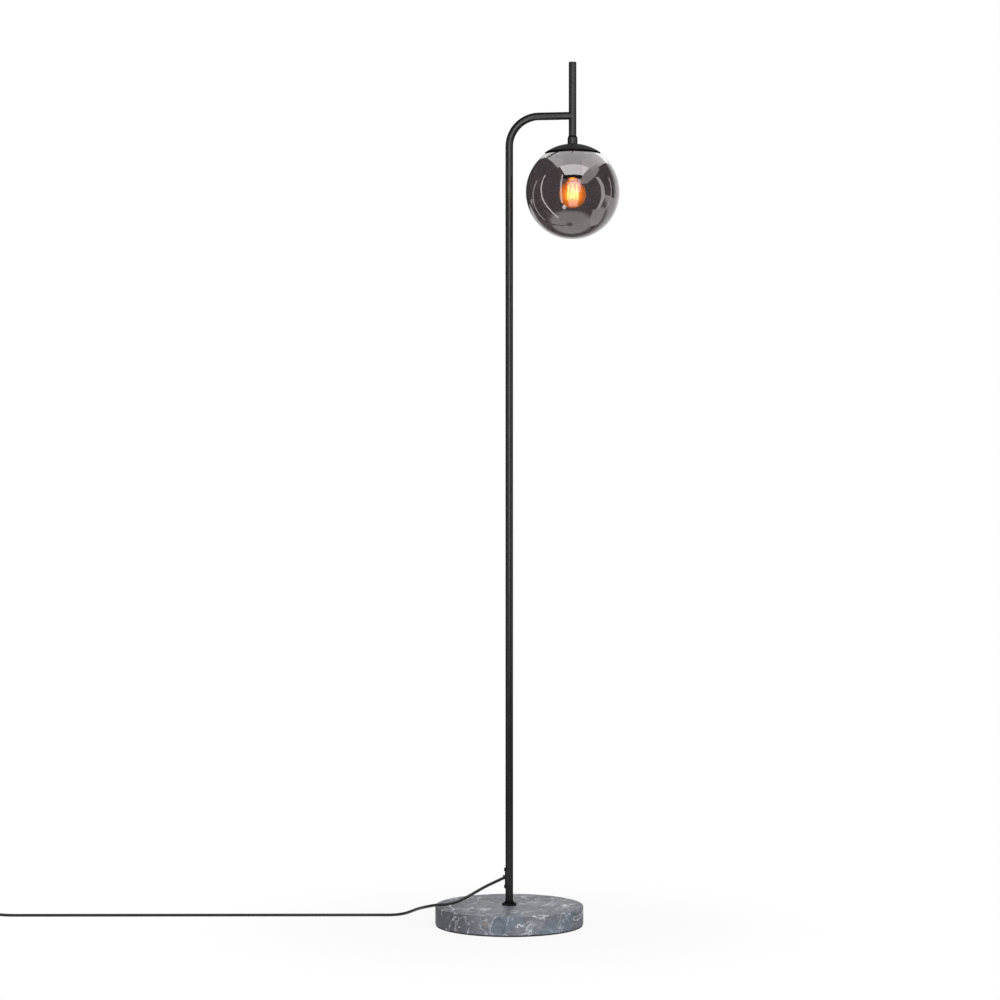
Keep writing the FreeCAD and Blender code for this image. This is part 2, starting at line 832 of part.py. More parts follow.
switch_centre = laid(740.0, 0.0, 0.0)
relief_reach = switch_length / 2 + relief_length
lead_end = switch_centre - onward * relief_reach + Vector(0, 0, switch_cord_height)
lead_points = [
    exit_point,
    exit_point + exit_direction * cord_first_run,
    Vector(-39.5, -4.5, 64.5),
    Vector(-54.5, -10.5, 56.0),
    Vector(-69.0, -18.5, 48.0),
    Vector(-84.0, -28.0, 41.0),
    Vector(-100.5, -36.0, 37.5),
    Vector(-118.5, -37.0, 36.5),
    Vector(-135.0, -28.0, 32.0),
    Vector(-147.5, -11.5, 27.0),
    Vector(-158.0, 7.5, 22.0),
    Vector(-170.0, 26.0, 15.5),
    Vector(-185.5, 41.0, 8.0),
    Vector(-206.5, 50.0, 3.4),
    straight_start,
    laid(632.0, 0.0, cord_radius),
    laid(648.0, 0.0, 3.2),
    laid(664.0, 0.0, switch_cord_height),
    lead_end,
]
lead_path = route_wire(lead_points, label="lead")
lead = swept(lead_path, cord_radius)
save("cord_lead", lead)

coil_low = tie_thickness
first_layer = coil_low + cord_radius
coil_height = 2 * cord_radius * coil_turns_high
coil_half_width = cord_radius * coil_turns_across
outer_turn = coil_radius + cord_radius * (coil_turns_across - 1)
coil_centre = laid(842.0, -outer_turn, 0.0)
coil_high = coil_low + coil_height
coil = tube(coil_radius - coil_half_width, coil_radius + coil_half_width, coil_low, coil_high)
coil.translate(coil_centre)
save("cord_coil", coil)

tail_start = switch_centre + onward * relief_reach + Vector(0, 0, switch_cord_height)
tail_points = [
    tail_start,
    laid(811.0, 0.0, switch_cord_height),
    laid(822.0, 0.0, 4.4),
    laid(833.0, 0.0, first_layer),
]
tail_path = route_wire(tail_points, label="tail")
tail = swept(tail_path, cord_radius)
save("cord_tail", tail)

# The tie is a flat strap round the turns, on the side away from the switch.
tie_width_out = 2 * coil_half_width + 2 * tie_thickness
tie_high = coil_high + tie_thickness
tie_corner = Vector(-tie_width_out / 2, -tie_width / 2, 0)
tie_box = Part.makeBox(tie_width_out, tie_width, tie_high, tie_corner)
tie_slot = Part.makeBox(
    2 * coil_half_width + slide_gap,
    tie_width + 2 * overshoot,
    coil_height + fit_gap,
    Vector(-coil_half_width - slide_gap / 2, -tie_width / 2 - overshoot, coil_low),
)
tie = tie_box.cut(tie_slot)
tie.translate(coil_centre + onward * coil_radius)
tie.rotate(coil_centre + onward * coil_radius, Vector(0, 0, 1), cord_heading)
save("cord_tie", tie.cut(coil))

# ---- plug ------------------------------------------------------------------------------

# The cord's end leaves the coil from its outer turn and swings out, so that the plug lies
# clear of the base.
plug_axis_z = plug_thickness / 2 + plug_lift
coil_exit = coil_centre + Vector(0, -outer_turn, first_layer + 2 * cord_radius)
plug_drop = plug_axis_z - coil_exit.z
plug_tail = coil_exit + Vector(plug_tail_run, -plug_tail_aside, plug_drop)
end_points = [
    coil_exit,
    coil_exit + Vector(plug_tail_run / 3, 0, 0),
    plug_tail - Vector(plug_tail_run / 3, 0, 0),
    plug_tail,
]
end_path = route_wire(end_points, label="end")
cord_end = swept(end_path, cord_radius)
save("cord_end", cord_end)

plug_back = plug_tail.x + plug_relief_length
plug_face = plug_back + plug_length
outwards = Vector(1, 0, 0)

relief = Part.makeCone(relief_tip_radius, plug_relief_root, plug_relief_length, plug_tail, outwards)
groove_pitch = plug_relief_length / (plug_relief_grooves + 1)
for number in range(plug_relief_grooves):
    groove_top = plug_groove_width / 2
    groove = tube(relief_tip_radius, plug_relief_root + overshoot, -groove_top, groove_top)
    groove.rotate(Vector(0, 0, 0), Vector(0, 1, 0), 90)
    groove.translate(plug_tail + Vector(groove_pitch * (number + 1), 0, 0))
    relief = relief.cut(groove)
save("plug_relief", relief)

half_plug = plug_width / 2
half_back = plug_back_width / 2
plug_underside = Vector(plug_back, plug_tail.y, plug_lift)
plug_outline = [
    plug_underside + Vector(0, -half_back, 0),
    plug_underside + Vector(plug_shoulder, -half_plug, 0),
    plug_underside + Vector(plug_length, -half_plug, 0),
    plug_underside + Vector(plug_length, half_plug, 0),
    plug_underside + Vector(plug_shoulder, half_plug, 0),
    plug_underside + Vector(0, half_back, 0),
]
plug_face_outline = Part.Face(Part.makePolygon(plug_outline + plug_outline[:1]))
plug_body = plug_face_outline.extrude(Vector(0, 0, plug_thickness))
soft_edges = [edge for edge in plug_body.Edges if edge.BoundBox.XMin < plug_face - fit_gap]
plug_body = plug_body.makeFillet(plug_edge, soft_edges)
pins = []
for side in (-1, 1):
    y = plug_tail.y + side * pin_spacing / 2
    root = Vector(plug_face - pin_root, y, plug_axis_z)
    pin_face = Vector(plug_face, y, plug_axis_z)
    shoulder = Vector(plug_face + pin_length - pin_point, y, plug_axis_z)
    point = Part.makeCone(pin_radius, pin_radius - pin_point, pin_point, shoulder, outwards)
    pins.append(bar(root, pin_face, pin_shank_radius).fuse(bar(pin_face, shoulder, pin_radius)).fuse(point))
    plug_body = plug_body.cut(bar(root, pin_face, pin_shank_radius + fit_gap))
save("plug_body", plug_body)
save("plug_pins", Part.makeCompound(pins))

# ---- foot switch -----------------------------------------------------------------------


def switch_place(shape):
    """Move a piece from the switch's own frame to where the switch lies."""
    shape.rotate(Vector(0, 0, 0), Vector(0, 0, 1), cord_heading)
    shape.translate(switch_centre)
    return shape


shell_low_z = switch_pad_thickness
outer_block = rounded_box(switch_length, switch_width, shell_low_z, switch_height, switch_corner)
top_edges = [
    edge
    for edge in outer_block.Edges
    if edge.BoundBox.ZMin > switch_height - fit_gap
]
outer_block = outer_block.makeFillet(switch_edge, top_edges)
inner_corner = switch_corner - switch_wall
inner_block = rounded_box(
    switch_length - 2 * switch_wall,
    switch_width - 2 * switch_wall,
    shell_low_z + switch_wall,
    switch_height - switch_wall,
    inner_corner,
)
shell_body = outer_block.cut(inner_block)
tongue_end = Vector(switch_length / 2 + overshoot, 0, switch_cord_height)
tongue_start = Vector(-tongue_end.x, 0, switch_cord_height)
shell_body = shell_body.cut(bar(tongue_start, tongue_end, relief_tip_radius + fit_gap))
lower_half = Part.makeBox(
    2 * switch_length, 2 * switch_width, switch_parting, Vector(-switch_length, -switch_width, 0)
)
upper_shell = shell_body.cut(lower_half)
lower_shell = shell_body.common(lower_half)
post_places = [
    (x * switch_post_spacing_x / 2, y * switch_post_spacing_y / 2) for x in (-1, 1) for y in (-1, 1)
]
post_low = shell_low_z + switch_wall
shell_roof = switch_height - switch_wall
screws = []
pads = []
for x, y in post_places:
    shell_floor = Vector(x, y, shell_low_z)
    post_foot = Vector(x, y, post_low)
    parting = Vector(x, y, switch_parting)
    roof = Vector(x, y, shell_roof)
    screw_low = shell_floor + Vector(0, 0, switch_screw_recess)
    screw_seat = Vector(x, y, post_low)
    screw_top = shell_floor + Vector(0, 0, switch_screw_length)
    hole_top = screw_top + Vector(0, 0, overshoot)
    bore_hole = bar(shell_floor, hole_top, switch_screw_radius + fit_gap)
    head_hole = bar(shell_floor, screw_seat + Vector(0, 0, fit_gap), switch_screw_head + fit_gap)
    lower_post = bar(post_foot, parting, switch_post_radius)
    lower_shell = lower_shell.fuse(lower_post).cut(bore_hole).cut(head_hole)
    upper_shell = upper_shell.fuse(bar(parting, roof, switch_post_radius)).cut(bore_hole)
    screw_head = bar(screw_low, screw_seat, switch_screw_head)
    screws.append(screw_head.fuse(bar(screw_low, screw_top, switch_screw_radius)))
    pads.append(bar(Vector(x, y, 0), shell_floor, switch_pad_radius))

button_hole = button_radius + turn_gap
upper_shell = upper_shell.cut(Part.makeCylinder(button_hole, switch_height, Vector(0, 0, switch_parting)))
save("switch_lower_shell", switch_place(lower_shell))
save("switch_upper_shell", switch_place(upper_shell))
save("switch_screws", switch_place(Part.makeCompound(screws)))
save("switch_pads", switch_place(Part.makeCompound(pads)))

# The button's skirt is wider than its hole, so the upper shell keeps it in.
skirt_top_z = shell_roof - slide_gap
skirt_low_z = skirt_top_z - button_skirt
button_top = switch_height + button_rise
block_low = post_low
block_top = block_low + block_height
stem_low = block_top + button_travel + button_seat
button = turned(
    [
        (0, skirt_low_z),
        (button_radius + button_skirt_width, skirt_low_z),
        (button_radius + button_skirt_width, skirt_top_z),
        (button_radius, skirt_top_z),
        (button_radius, button_top - button_edge),
        (button_radius - button_edge, button_top),
        (0, button_top),
    ]
)
button = button.fuse(tube(0, button_stem_radius, stem_low, skirt_low_z))
save("switch_button", switch_place(button))

spring_low = block_top + spring_wire
spring_span = skirt_low_z - spring_wire - spring_low
spring_line = Part.Wire(Part.makeHelix(spring_span / spring_turns, spring_span, spring_radius).Edges)
spring_circle = Part.Wire(Part.makeCircle(spring_wire, Vector(spring_radius, 0, 0), Vector(0, 1, 0)))
spring = spring_line.makePipeShell([spring_circle], True, True)
spring.translate(Vector(0, 0, spring_low))
save("switch_spring", switch_place(spring))

block_corner = Vector(-block_length / 2, -block_width / 2, block_low)
block = Part.makeBox(block_length, block_width, block_height, block_corner)
save("switch_block", switch_place(block))
terminal_bars = []
for side_x in (-1, 1):
    for side_y in (-1, 1):
        bar_x = side_x * (block_length + terminal_bar_length) / 2
        bar_y = side_y * block_width / 3
        terminal = rounded_box(
            terminal_bar_length,
            terminal_bar_width,
            block_low,
            block_low + terminal_bar_height,
            terminal_bar_corner,
        )
        terminal.translate(Vector(bar_x, bar_y, 0))
        terminal_bars.append(terminal)
save("switch_terminals", switch_place(Part.makeCompound(terminal_bars)))

reliefs = []
inner_cords = []
for side in (-1, 1):
    tip = Vector(side * relief_reach, 0, switch_cord_height)
    root = Vector(side * switch_length / 2, 0, switch_cord_height)
    inwards = Vector(-side, 0, 0)
    cone = Part.makeCone(relief_tip_radius, relief_root_radius, relief_length, tip, inwards)
    tongue_tip = root + inwards * relief_tongue
    tongue = bar(root, tongue_tip, relief_tip_radius)
    cord_bore = bar(tip, tongue_tip + inwards * overshoot, cord_hole)
    reliefs.append(cone.fuse(tongue).cut(cord_bore))
    cord_stop = Vector(side * (block_length / 2 + terminal_bar_length), 0, switch_cord_height)
    inner_cords.append(bar(tip, cord_stop, cord_radius))
save("switch_reliefs", switch_place(Part.makeCompound(reliefs)))
save("switch_inner_cords", switch_place(Part.makeCompound(inner_cords)))

for name, solid, path in (
    ("lead", lead, lead_path),
    ("tail", tail, tail_path),
    ("end", cord_end, end_path),
):
    fullness = solid.Volume / (math.pi * cord_radius**2 * path.Length)
    print("cord", name, "length", round(path.Length, 1), "volume share", round(fullness, 5))
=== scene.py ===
import math

import bpy
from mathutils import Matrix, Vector


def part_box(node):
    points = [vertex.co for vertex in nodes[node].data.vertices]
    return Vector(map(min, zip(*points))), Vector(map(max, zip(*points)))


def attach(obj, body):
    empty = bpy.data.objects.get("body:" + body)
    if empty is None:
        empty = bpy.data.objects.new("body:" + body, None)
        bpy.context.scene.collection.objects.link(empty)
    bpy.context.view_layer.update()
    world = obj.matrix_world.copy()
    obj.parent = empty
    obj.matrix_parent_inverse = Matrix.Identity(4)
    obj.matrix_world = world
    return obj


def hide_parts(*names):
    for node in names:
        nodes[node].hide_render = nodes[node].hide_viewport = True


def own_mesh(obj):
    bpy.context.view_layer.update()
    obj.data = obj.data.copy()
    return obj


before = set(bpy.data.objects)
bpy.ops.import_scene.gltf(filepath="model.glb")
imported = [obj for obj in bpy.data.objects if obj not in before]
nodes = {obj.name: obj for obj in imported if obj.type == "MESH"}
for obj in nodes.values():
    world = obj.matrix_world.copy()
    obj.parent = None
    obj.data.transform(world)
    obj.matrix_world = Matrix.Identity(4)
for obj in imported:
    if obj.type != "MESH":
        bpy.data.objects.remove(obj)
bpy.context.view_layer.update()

# ---- marble disc -----------------------------------------------------------------------
# A turned disc of grey marble, honed on top and polished at the edge. Dark bands and pale
# veins run through the stone, so they pass from its top over the edge. Painted shade
# darkens its left and right parts and its top.


def new_group(name, inputs, outputs):
    """An empty shader group with named float, colour or vector sockets."""
    group = bpy.data.node_groups.new(name, "ShaderNodeTree")
    for label, kind, value in inputs:
        socket = group.interface.new_socket(label, in_out="INPUT", socket_type="NodeSocket" + kind)
        if value is not None:
            socket.default_value = value
    for label, kind in outputs:
        group.interface.new_socket(label, in_out="OUTPUT", socket_type="NodeSocket" + kind)
    return group, group.nodes.new("NodeGroupInput"), group.nodes.new("NodeGroupOutput")


def put(tree, kind, settings=None, **sockets):
    """Add a node, set its options, and set or link its inputs by name."""
    node = tree.nodes.new(kind)
    for key, value in (settings or {}).items():
        setattr(node, key, value)
    for key, value in sockets.items():
        by_number = key[0] == "i" and key[1:].isdigit()
        target = node.inputs[int(key[1:]) if by_number else key.replace("_", " ")]
        if isinstance(value, bpy.types.NodeSocket):
            tree.links.new(value, target)
        else:
            target.default_value = value
    return node


def maths(tree, operation, first, second=0.0, clamp=False):
    """The result of one Math node."""
    settings = {"operation": operation, "use_clamp": clamp}
    return put(tree, "ShaderNodeMath", settings, i0=first, i1=second).outputs[0]


def vector_maths(tree, operation, first, second):
    """One Vector Math node of two vectors."""
    return put(tree, "ShaderNodeVectorMath", {"operation": operation}, i0=first, i1=second)


def ramp(tree, value, low, high, start=0.0, end=1.0, smooth=True):
    """Map a value from low..high to start..end, softly."""
    kind = "SMOOTHSTEP" if smooth else "LINEAR"
    node = put(tree, "ShaderNodeMapRange", {"interpolation_type": kind}, Value=value)
    node.inputs["From Min"].default_value = low
    node.inputs["From Max"].default_value = high
    node.inputs["To Min"].default_value = start
    node.inputs["To Max"].default_value = end
    return node.outputs["Result"]


def blend(tree, share, first, second, mode="MIX"):
    """Mix two colours by a share."""
    node = put(tree, "ShaderNodeMix", {"data_type": "RGBA", "blend_type": mode})
    for index, value in ((0, share), (6, first), (7, second)):
        if isinstance(value, bpy.types.NodeSocket):
            tree.links.new(value, node.inputs[index])
        else:
            node.inputs[index].default_value = value
    return node.outputs[2]


def new_material(name):
    """A material with its Principled shader, and the place of each point in metres."""
    material = bpy.data.materials.new(name)
    material.use_nodes = True
    tree = material.node_tree
    shader = next(n for n in tree.nodes if n.type == "BSDF_PRINCIPLED")
    place = tree.nodes.new("ShaderNodeTexCoord").outputs["Object"]
    return material, tree, shader, place


def link(tree, source, shader, name):
    """Feed one of the shader's inputs."""
    tree.links.new(source, shader.inputs[name])


def finish_with(node_names, material):
    """Give CAD nodes a material in each of their slots."""
    for name in node_names:
        for holder in nodes[name].material_slots:
            holder.material = material


grain_group, given, result = new_group(
    "fine_grain",
    [("Place", "Vector", None), ("Size", "Float", 400.0), ("Low", "Float", 0.4), ("High", "Float", 0.6)],
    [("Value", "Float")],
)
grain_place = given.outputs["Place"]
fine = put(grain_group, "ShaderNodeTexNoise", Vector=grain_place, Scale=given.outputs["Size"], Detail=4.0)
spread = put(grain_group, "ShaderNodeMapRange", Value=fine.outputs["Fac"])
spread.inputs["From Min"].default_value = 0.25
spread.inputs["From Max"].default_value = 0.75
grain_group.links.new(given.outputs["Low"], spread.inputs["To Min"])
grain_group.links.new(given.outputs["High"], spread.inputs["To Max"])
grain_group.links.new(spread.outputs["Result"], result.inputs["Value"])

vein_group, given, result = new_group(
    "stone_vein",
    [
        ("Place", "Vector", None), ("Size", "Float", 8.0), ("Warp", "Float", 0.05),
        ("Warp Size", "Float", 20.0), ("Width", "Float", 0.05), ("Gaps", "Float", 0.5),
    ],
    [("Mask", "Float")],
)
stone_place = given.outputs["Place"]
warp_size = given.outputs["Warp Size"]
sway = put(vein_group, "ShaderNodeTexNoise", Vector=stone_place, Scale=warp_size, Detail=3.0)
centred = vector_maths(vein_group, "SUBTRACT", sway.outputs["Color"], (0.5, 0.5, 0.5))
pushed = put(vein_group, "ShaderNodeVectorMath", {"operation": "SCALE"}, i0=centred.outputs[0])
vein_group.links.new(given.outputs["Warp"], pushed.inputs["Scale"])
bent = vector_maths(vein_group, "ADD", stone_place, pushed.outputs[0]).outputs[0]
ridge = put(vein_group, "ShaderNodeTexNoise", Vector=bent, Scale=given.outputs["Size"], Detail=2.0)
off_ridge = maths(vein_group, "ABSOLUTE", maths(vein_group, "SUBTRACT", ridge.outputs["Fac"], 0.5))
on_vein = put(vein_group, "ShaderNodeMapRange", {"interpolation_type": "SMOOTHSTEP"}, Value=off_ridge)
on_vein.inputs["To Min"].default_value = 1.0
on_vein.inputs["To Max"].default_value = 0.0
vein_group.links.new(given.outputs["Width"], on_vein.inputs["From Max"])
patches = put(vein_group, "ShaderNodeTexNoise", Vector=bent, Scale=warp_size, Detail=1.0).outputs["Fac"]
shown_here = put(vein_group, "ShaderNodeMapRange", {"interpolation_type": "SMOOTHSTEP"}, Value=patches)
vein_group.links.new(given.outputs["Gaps"], shown_here.inputs["From Min"])
shown_here.inputs["From Max"].default_value = 0.75
vein_mask = maths(vein_group, "MULTIPLY", on_vein.outputs["Result"], shown_here.outputs["Result"])
vein_group.links.new(vein_mask, result.inputs["Mask"])


def grain(tree, place, size, low, high):
    """Fine variation between two values."""
    settings = {"node_tree": grain_group}
    return put(tree, "ShaderNodeGroup", settings, Place=place, Size=size, Low=low, High=high).outputs["Value"]


def vein(tree, place, size, warp, warp_size, width, gaps):
    """A mask of thin wandering veins."""
    node = put(
        tree, "ShaderNodeGroup", {"node_tree": vein_group},
        Place=place, Size=size, Warp=warp, Warp_Size=warp_size, Width=width, Gaps=gaps,
    )
    return node.outputs["Mask"]


def up_facing(tree):
    """How far each point of the surface faces up, from -1 to 1."""
    normal = tree.nodes.new("ShaderNodeNewGeometry").outputs["Normal"]
    return put(tree, "ShaderNodeSeparateXYZ", Vector=normal).outputs["Z"]


def bump(tree, height, strength, distance, shader):
    """Raise the surface by a height, in metres at full strength."""
    node = put(tree, "ShaderNodeBump", Height=height, Strength=strength, Distance=distance)
    link(tree, node.outputs["Normal"], shader, "Normal")


stone_grey = (0.235, 0.245, 0.280, 1)
stone_dark = (0.045, 0.047, 0.060, 1)
stone_shade = (0.115, 0.120, 0.138, 1)
stone_blue = (0.165, 0.225, 0.285, 1)
stone_pale = (0.78, 0.80, 0.86, 1)
stone_warm = (0.30, 0.25, 0.22, 1)
seam_half_width = 0.13

marble, tree, shader, place = new_material("grey_marble")
clouds = put(tree, "ShaderNodeTexNoise", Vector=place, Scale=16.0, Detail=7.0, Roughness=0.66).outputs["Fac"]
blotches = put(tree, "ShaderNodeTexNoise", Vector=place, Scale=52.0, Detail=5.0, Roughness=0.6).outputs["Fac"]
across = vector_maths(tree, "DOT_PRODUCT", place, (0.990, 0.139, 0.0)).outputs["Value"]
back = vector_maths(tree, "DOT_PRODUCT", place, (-0.139, 0.990, 0.0)).outputs["Value"]

# A dark seam with two peaks crosses the top. The stone behind it is darker than in front.
seam = tree.nodes.new("ShaderNodeFloatCurve")
share_across = ramp(tree, across, -seam_half_width, seam_half_width, 0.0, 1.0, smooth=False)
tree.links.new(share_across, seam.inputs["Value"])
seam_line = seam.mapping.curves[0]
seam_line.points[0].location = (0.00, 0.36)
seam_line.points[1].location = (1.00, 0.74)
for seam_across, seam_back in ((0.25, 0.55), (0.34, 0.70), (0.44, 0.52), (0.58, 0.67), (0.72, 0.78)):
    seam_line.points.new(seam_across, seam_back)
seam_back_here = ramp(tree, seam.outputs["Value"], 0.0, 1.0, -seam_half_width, seam_half_width, smooth=False)
rough_edge = ramp(tree, blotches, 0.3, 0.7, -0.012, 0.012, smooth=False)
past_seam = maths(tree, "ADD", maths(tree, "SUBTRACT", back, seam_back_here), rough_edge)
behind_seam = ramp(tree, past_seam, -0.004, 0.006)
on_seam = maths(tree, "MULTIPLY", behind_seam, ramp(tree, past_seam, 0.006, 0.030, 1.0, 0.0))

colour = blend(tree, ramp(tree, clouds, 0.36, 0.66, 0.0, 0.9), stone_grey, stone_shade)
tint = put(tree, "ShaderNodeTexNoise", Vector=place, Scale=26.0, Detail=3.0).outputs["Fac"]
colour = blend(tree, ramp(tree, tint, 0.48, 0.68, 0.0, 0.65), colour, stone_blue)
colour = blend(tree, ramp(tree, blotches, 0.52, 0.68, 0.0, 0.6), colour, stone_shade)
colour = blend(tree, maths(tree, "MULTIPLY", behind_seam, 0.35), colour, stone_shade)
colour = blend(tree, maths(tree, "MULTIPLY", on_seam, 0.75), colour, stone_dark)
# Painted shade darkens the disc from its left edge to its middle, and again at its right edge.
colour = blend(tree, ramp(tree, across, -seam_half_width, 0.05, 0.58, 0.0), colour, stone_dark)
colour = blend(tree, ramp(tree, across, 0.080, seam_half_width, 0.0, 0.50), colour, stone_dark)
# Painted shade darkens every face that looks up, so the top is darker than the edge.
colour = blend(tree, ramp(tree, up_facing(tree), 0.3, 0.9, 0.0, 0.34), colour, stone_dark)
colour = blend(tree, vein(tree, place, 9.0, 0.07, 18.0, 0.030, 0.35), colour, stone_dark)
slanted = put(tree, "ShaderNodeMapping", Vector=place, Rotation=(0.5, 0.7, 0.3), Scale=(1.0, 0.45, 1.0))
slanted = slanted.outputs["Vector"]
warm_patch = put(tree, "ShaderNodeTexNoise", Vector=place, Scale=34.0, Detail=2.0).outputs["Fac"]
colour = blend(tree, ramp(tree, warm_patch, 0.60, 0.70, 0.0, 0.5), colour, stone_warm)
colour = blend(tree, vein(tree, slanted, 24.0, 0.05, 34.0, 0.022, 0.40), colour, stone_pale)
colour = blend(tree, vein(tree, place, 15.0, 0.06, 30.0, 0.020, 0.44), colour, stone_pale)
colour = blend(tree, vein(tree, place, 40.0, 0.04, 44.0, 0.034, 0.46), colour, stone_pale)
speckle = put(tree, "ShaderNodeTexNoise", Vector=place, Scale=900.0, Detail=2.0).outputs["Fac"]
colour = blend(tree, ramp(tree, speckle, 0.35, 0.75, 0.0, 0.12), colour, stone_pale)
link(tree, colour, shader, "Base Color")
link(tree, grain(tree, place, 60.0, 0.34, 0.46), shader, "Roughness")
shader.inputs["IOR"].default_value = 1.2
bump(tree, speckle, 0.05, 0.0004, shader)
finish_with(["marble_disc"], marble)

# ---- pad under the disc ----------------------------------------------------------------
# A thin disc of dense black foam with a fibrous face, glued under the marble.

pad_foam, tree, shader, place = new_material("pad_foam")
pores = grain(tree, place, 1500.0, 0.0, 1.0)
link(tree, blend(tree, pores, (0.012, 0.012, 0.013, 1), (0.035, 0.034, 0.034, 1)), shader, "Base Color")
shader.inputs["Roughness"].default_value = 0.92
bump(tree, pores, 0.5, 0.0004, shader)
finish_with(["base_pad", "switch_pads"], pad_foam)

# ---- threaded parts in the base --------------------------------------------------------
# Stud, washers, nut and insert are turned steel with a thin bluish zinc coat, as are the
# nuts and washers of the head and the small screws of the switch.

zinc_steel, tree, shader, place = new_material("zinc_steel")
worn = grain(tree, place, 220.0, 0.0, 1.0)
link(tree, blend(tree, worn, (0.46, 0.47, 0.49, 1), (0.62, 0.62, 0.60, 1)), shader, "Base Color")
shader.inputs["Metallic"].default_value = 1.0
link(tree, grain(tree, place, 600.0, 0.24, 0.42), shader, "Roughness")
bump(tree, grain(tree, place, 1800.0, 0.0, 1.0), 0.12, 0.0002, shader)
finish_with(
    [
        "base_stud", "base_washer", "base_spring_washer", "base_nut", "foot_insert", "joint_spigot",
        "cap_washer", "cap_locknut", "cap_nipple", "terminal_screws", "switch_screws", "switch_spring",
    ],
    zinc_steel,
)

# ---- pole, arm, rod and cap ------------------------------------------------------------
# Drawn steel tube and a spun steel cap, with a satin black powder coat. The coat flows
# into a very fine orange peel. It is duller low down and on top, where dust settles.

powder_black, tree, shader, place = new_material("powder_black")
peel = grain(tree, place, 1400.0, 0.0, 1.0)
broad = put(tree, "ShaderNodeTexNoise", Vector=place, Scale=35.0, Detail=3.0).outputs["Fac"]
colour = blend(tree, broad, (0.0050, 0.0050, 0.0054, 1), (0.0090, 0.0088, 0.0094, 1))
link(tree, colour, shader, "Base Color")
height = put(tree, "ShaderNodeSeparateXYZ", Vector=place).outputs["Z"]
upper_tube = ramp(tree, height, 0.986, 0.990, 0.04, 0.0)
coat = maths(tree, "ADD", ramp(tree, broad, 0.3, 0.7, 0.28, 0.33), upper_tube)
link(tree, coat, shader, "Roughness")
facing = put(tree, "ShaderNodeLayerWeight", Blend=0.5).outputs["Facing"]
dusted = ramp(tree, up_facing(tree), 0.02, 0.40, 1.0, 0.02)
gloss = maths(tree, "MULTIPLY", ramp(tree, facing, 0.06, 0.45, 1.0, 0.14), dusted)
gloss = maths(tree, "MULTIPLY", gloss, ramp(tree, height, 0.0, 0.85, 0.24, 0.50))
link(tree, gloss, shader, "Specular IOR Level")
shader.inputs["IOR"].default_value = 2.0
bump(tree, peel, 0.05, 0.0002, shader)
finish_with(
    ["foot_flange", "lower_pole", "upper_pole", "rod_tube", "rod_plug", "cable_outlet", "head_collar"],
    powder_black,
)

cap_black, tree, shader, place = new_material("cap_black")
peel = grain(tree, place, 1400.0, 0.0, 1.0)
broad = put(tree, "ShaderNodeTexNoise", Vector=place, Scale=40.0, Detail=3.0).outputs["Fac"]
colour = blend(tree, broad, (0.0100, 0.0100, 0.0103, 1), (0.0165, 0.0163, 0.0168, 1))
link(tree, colour, shader, "Base Color")
link(tree, ramp(tree, broad, 0.3, 0.7, 0.66, 0.74), shader, "Roughness")
shader.inputs["IOR"].default_value = 1.12
bump(tree, peel, 0.14, 0.0002, shader)
finish_with(["shade_cap", "lampholder_sleeve"], cap_black)

# ---- cable outlet ----------------------------------------------------------------------
# The saddle's two small screws are blackened steel, and a soft bush lines its hole.

screw_black, tree, shader, place = new_material("screw_black")
rubbed = grain(tree, place, 500.0, 0.0, 1.0)
link(tree, blend(tree, rubbed, (0.018, 0.018, 0.019, 1), (0.060, 0.058, 0.056, 1)), shader, "Base Color")
shader.inputs["Metallic"].default_value = 0.85
link(tree, grain(tree, place, 900.0, 0.32, 0.50), shader, "Roughness")
bump(tree, rubbed, 0.08, 0.0002, shader)
finish_with(["outlet_screws"], screw_black)

soft_black, tree, shader, place = new_material("soft_black")
skin = grain(tree, place, 1100.0, 0.0, 1.0)
link(tree, blend(tree, skin, (0.014, 0.014, 0.015, 1), (0.028, 0.028, 0.029, 1)), shader, "Base Color")
link(tree, grain(tree, place, 300.0, 0.50, 0.64), shader, "Roughness")
bump(tree, skin, 0.20, 0.0002, shader)
finish_with(["outlet_bush", "cord_tie", "plug_relief", "switch_reliefs"], soft_black)

# ---- threaded ring and glass collar ----------------------------------------------------
# The ring under the cap and the collar in the glass neck are turned aluminium, with fine
# tool marks that run round them.

turned_aluminium, tree, shader, place = new_material("turned_aluminium")
rings = {"bands_direction": "Z"}
turning = put(tree, "ShaderNodeTexWave", rings, Vector=place, Scale=700.0, Distortion=0.6, Detail=2.0)
marks = turning.outputs["Fac"]
link(tree, blend(tree, marks, (0.50, 0.50, 0.51, 1), (0.66, 0.66, 0.66, 1)), shader, "Base Color")
shader.inputs["Metallic"].default_value = 1.0
link(tree, ramp(tree, marks, 0.0, 1.0, 0.22, 0.34), shader, "Roughness")
bump(tree, marks, 0.15, 0.0002, shader)
finish_with(["cap_thread_ring", "globe_collar"], turned_aluminium)

# ---- glass globe -----------------------------------------------------------------------
# Blown smoked glass with a thin half-mirror coat. The wall wanders very slightly, as
# blown glass does, and the smoke is a little denser in places.

smoked_glass, tree, shader, place = new_material("smoked_glass")
drift = put(tree, "ShaderNodeTexNoise", Vector=place, Scale=9.0, Detail=1.0).outputs["Fac"]
link(tree, blend(tree, drift, (0.335, 0.292, 0.302, 1), (0.370, 0.325, 0.335, 1)), shader, "Base Color")
shader.inputs["Metallic"].default_value = 0.12
shader.inputs["Transmission Weight"].default_value = 1.0
shader.inputs["Roughness"].default_value = 0.0
shader.inputs["IOR"].default_value = 2.0
bump(tree, drift, 0.25, 0.0010, shader)
finish_with(["globe_glass"], smoked_glass)

# ---- lampholder ------------------------------------------------------------------------
# A black holder in two halves, its brass thread, contact and terminals, and the two
# insulated wires that come down through the nipple.

